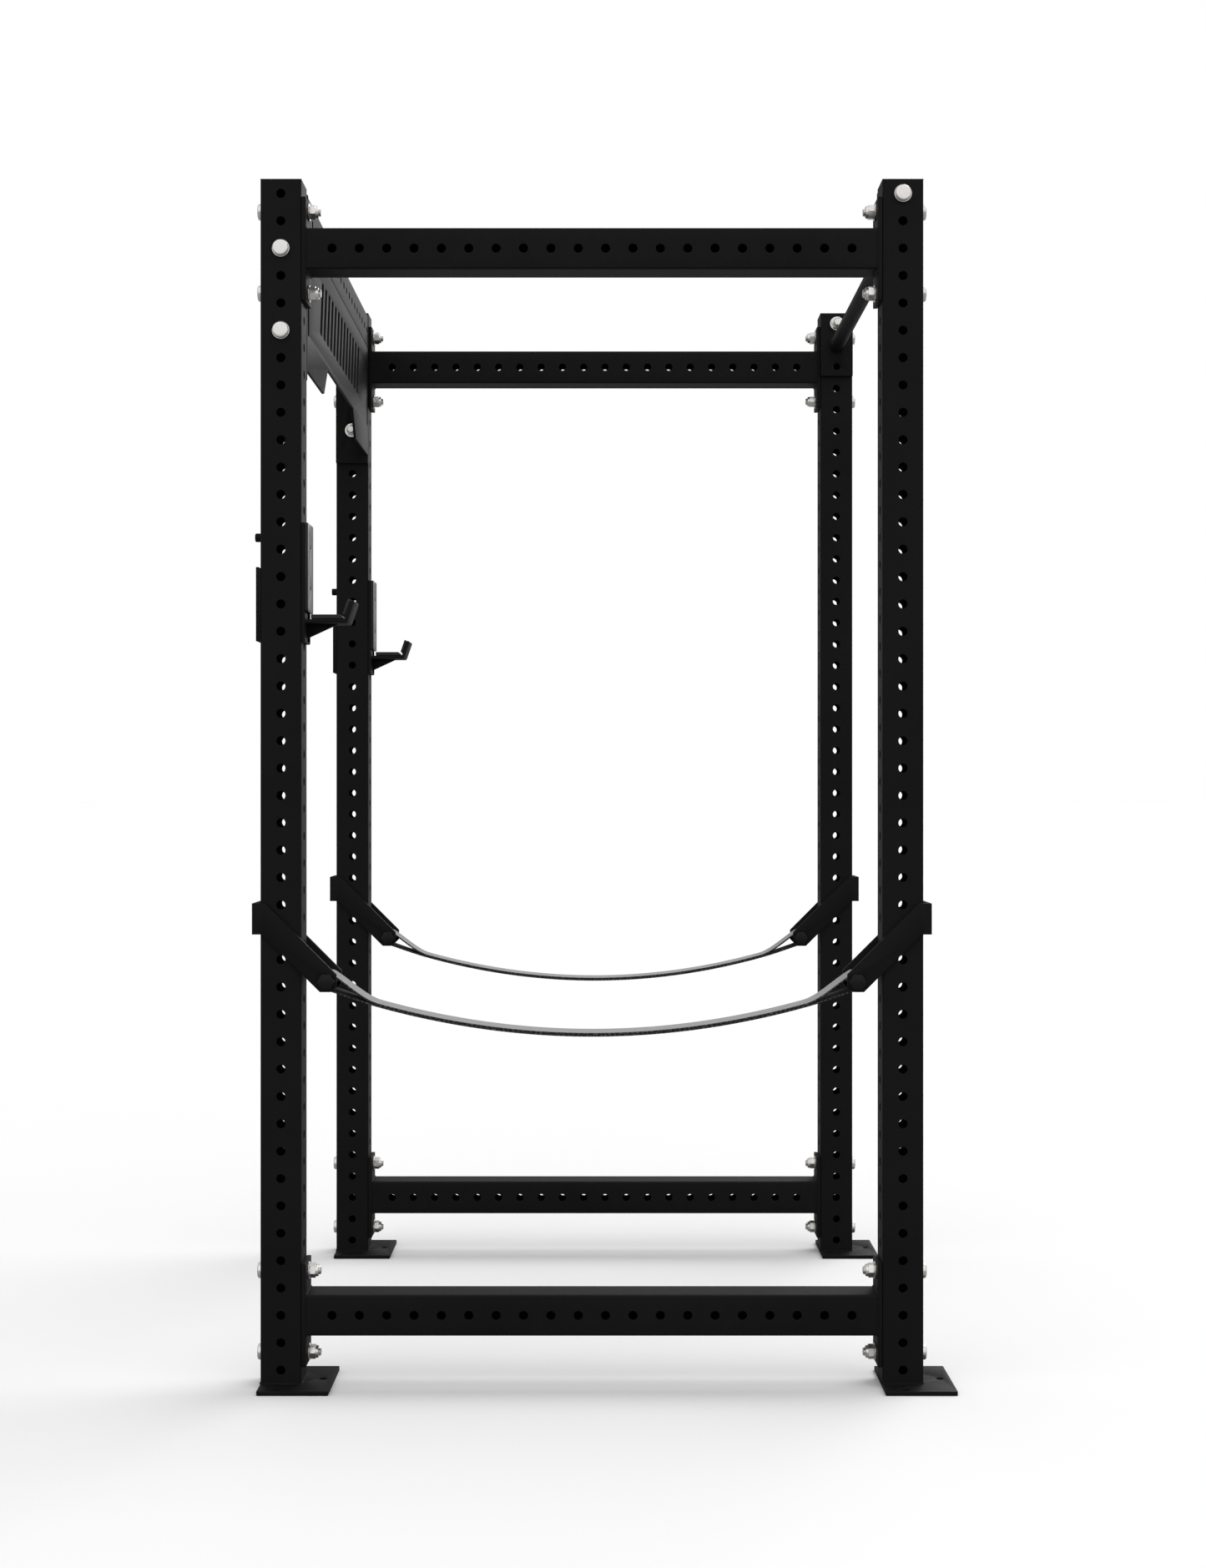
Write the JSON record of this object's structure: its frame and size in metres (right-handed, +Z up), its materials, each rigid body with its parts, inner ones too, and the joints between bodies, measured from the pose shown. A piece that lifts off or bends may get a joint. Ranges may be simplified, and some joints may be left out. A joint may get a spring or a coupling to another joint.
{
  "type": "power cage",
  "caption": "Free-standing steel power cage with perforated uprights, header, pull-up bar, swinging J-hooks and safety straps.",
  "frame": {"origin": "centre of the footprint on the floor, which is the middle of the underside of the bounding box", "axes": "+Z up, -X towards the front with the header and J-hooks, +X towards the rear with the pull-up bar, -Y the left side and +Y the right side"},
  "size_m": [1.2812, 1.31, 2.2095],
  "materials": {
    "powder_coat": "fine-textured black powder coat",
    "zinc_hardware": "bright zinc plate",
    "black_hardware": "black oxide",
    "liner_plastic": "machined black plastic liner",
    "webbing": "multi-ply woven webbing"
  },
  "bodies": {
    "root": {"bolt_bottom_left_front_lower": "zinc_hardware", "bolt_bottom_left_front_upper": "zinc_hardware", "bolt_bottom_left_rear_lower": "zinc_hardware", "bolt_bottom_left_rear_upper": "zinc_hardware", "bolt_bottom_right_front_lower": "zinc_hardware", "bolt_bottom_right_front_upper": "zinc_hardware", "bolt_bottom_right_rear_lower": "zinc_hardware", "bolt_bottom_right_rear_upper": "zinc_hardware", "bolt_header_left_lower": "zinc_hardware", "bolt_header_left_upper": "zinc_hardware", "bolt_header_right_lower": "zinc_hardware", "bolt_header_right_upper": "zinc_hardware", "bolt_pull_up_bar_left": "zinc_hardware", "bolt_pull_up_bar_right": "zinc_hardware", "bolt_top_left_front_lower": "zinc_hardware", "bolt_top_left_front_upper": "zinc_hardware", "bolt_top_left_rear_lower": "zinc_hardware", "bolt_top_left_rear_upper": "zinc_hardware", "bolt_top_right_front_lower": "zinc_hardware", "bolt_top_right_front_upper": "zinc_hardware", "bolt_top_right_rear_lower": "zinc_hardware", "bolt_top_right_rear_upper": "zinc_hardware", "crossmember_bottom_left": "powder_coat", "crossmember_bottom_right": "powder_coat", "crossmember_top_left": "powder_coat", "crossmember_top_right": "powder_coat", "foot_plate_front_left": "powder_coat", "foot_plate_front_right": "powder_coat", "foot_plate_rear_left": "powder_coat", "foot_plate_rear_right": "powder_coat", "header_frame": "powder_coat", "header_plate": "powder_coat", "pull_up_bar": "powder_coat", "safety_strap_left": "webbing", "safety_strap_right": "webbing", "top_cap_front_left": "powder_coat", "top_cap_front_right": "powder_coat", "top_cap_rear_left": "powder_coat", "top_cap_rear_right": "powder_coat", "upright_front_left": "powder_coat", "upright_front_right": "powder_coat", "upright_rear_left": "powder_coat", "upright_rear_right": "powder_coat"},
    "j_hook_left": {"j_hook_left": "powder_coat", "j_hook_back_pad_left": "liner_plastic", "j_hook_shelf_liner_left": "liner_plastic", "j_hook_lip_liner_left": "liner_plastic"},
    "j_hook_right": {"j_hook_right": "powder_coat", "j_hook_back_pad_right": "liner_plastic", "j_hook_shelf_liner_right": "liner_plastic", "j_hook_lip_liner_right": "liner_plastic"},
    "strap_bracket_front_left": {"strap_bracket_front_left": "powder_coat", "strap_bolt_front_left": "black_hardware"},
    "strap_bracket_front_right": {"strap_bracket_front_right": "powder_coat", "strap_bolt_front_right": "black_hardware"},
    "strap_bracket_rear_left": {"strap_bracket_rear_left": "powder_coat", "strap_bolt_rear_left": "black_hardware"},
    "strap_bracket_rear_right": {"strap_bracket_rear_right": "powder_coat", "strap_bolt_rear_right": "black_hardware"}
  },
  "joints": [
    {"name": "j_hook_left_swing", "type": "hinge", "parent": "root", "child": "j_hook_left", "pos_m": [-0.58855, -0.5675, 1.558], "axis": [1, 0, 0], "range_deg": [0, 90]},
    {"name": "j_hook_right_swing", "type": "hinge", "parent": "root", "child": "j_hook_right", "pos_m": [-0.58855, 0.5675, 1.558], "axis": [1, 0, 0], "range_deg": [0, 90]},
    {"name": "strap_bracket_front_left_slide", "type": "slide", "parent": "root", "child": "strap_bracket_front_left", "axis": [-1, 0, 0], "range_m": [0, 0.02], "deforming": ["safety_strap_left"]},
    {"name": "strap_bracket_front_right_slide", "type": "slide", "parent": "root", "child": "strap_bracket_front_right", "axis": [-1, 0, 0], "range_m": [0, 0.02], "deforming": ["safety_strap_right"]},
    {"name": "strap_bracket_rear_left_slide", "type": "slide", "parent": "root", "child": "strap_bracket_rear_left", "axis": [1, 0, 0], "range_m": [0, 0.02], "deforming": ["safety_strap_left"]},
    {"name": "strap_bracket_rear_right_slide", "type": "slide", "parent": "root", "child": "strap_bracket_rear_right", "axis": [1, 0, 0], "range_m": [0, 0.02], "deforming": ["safety_strap_right"]}
  ]
}
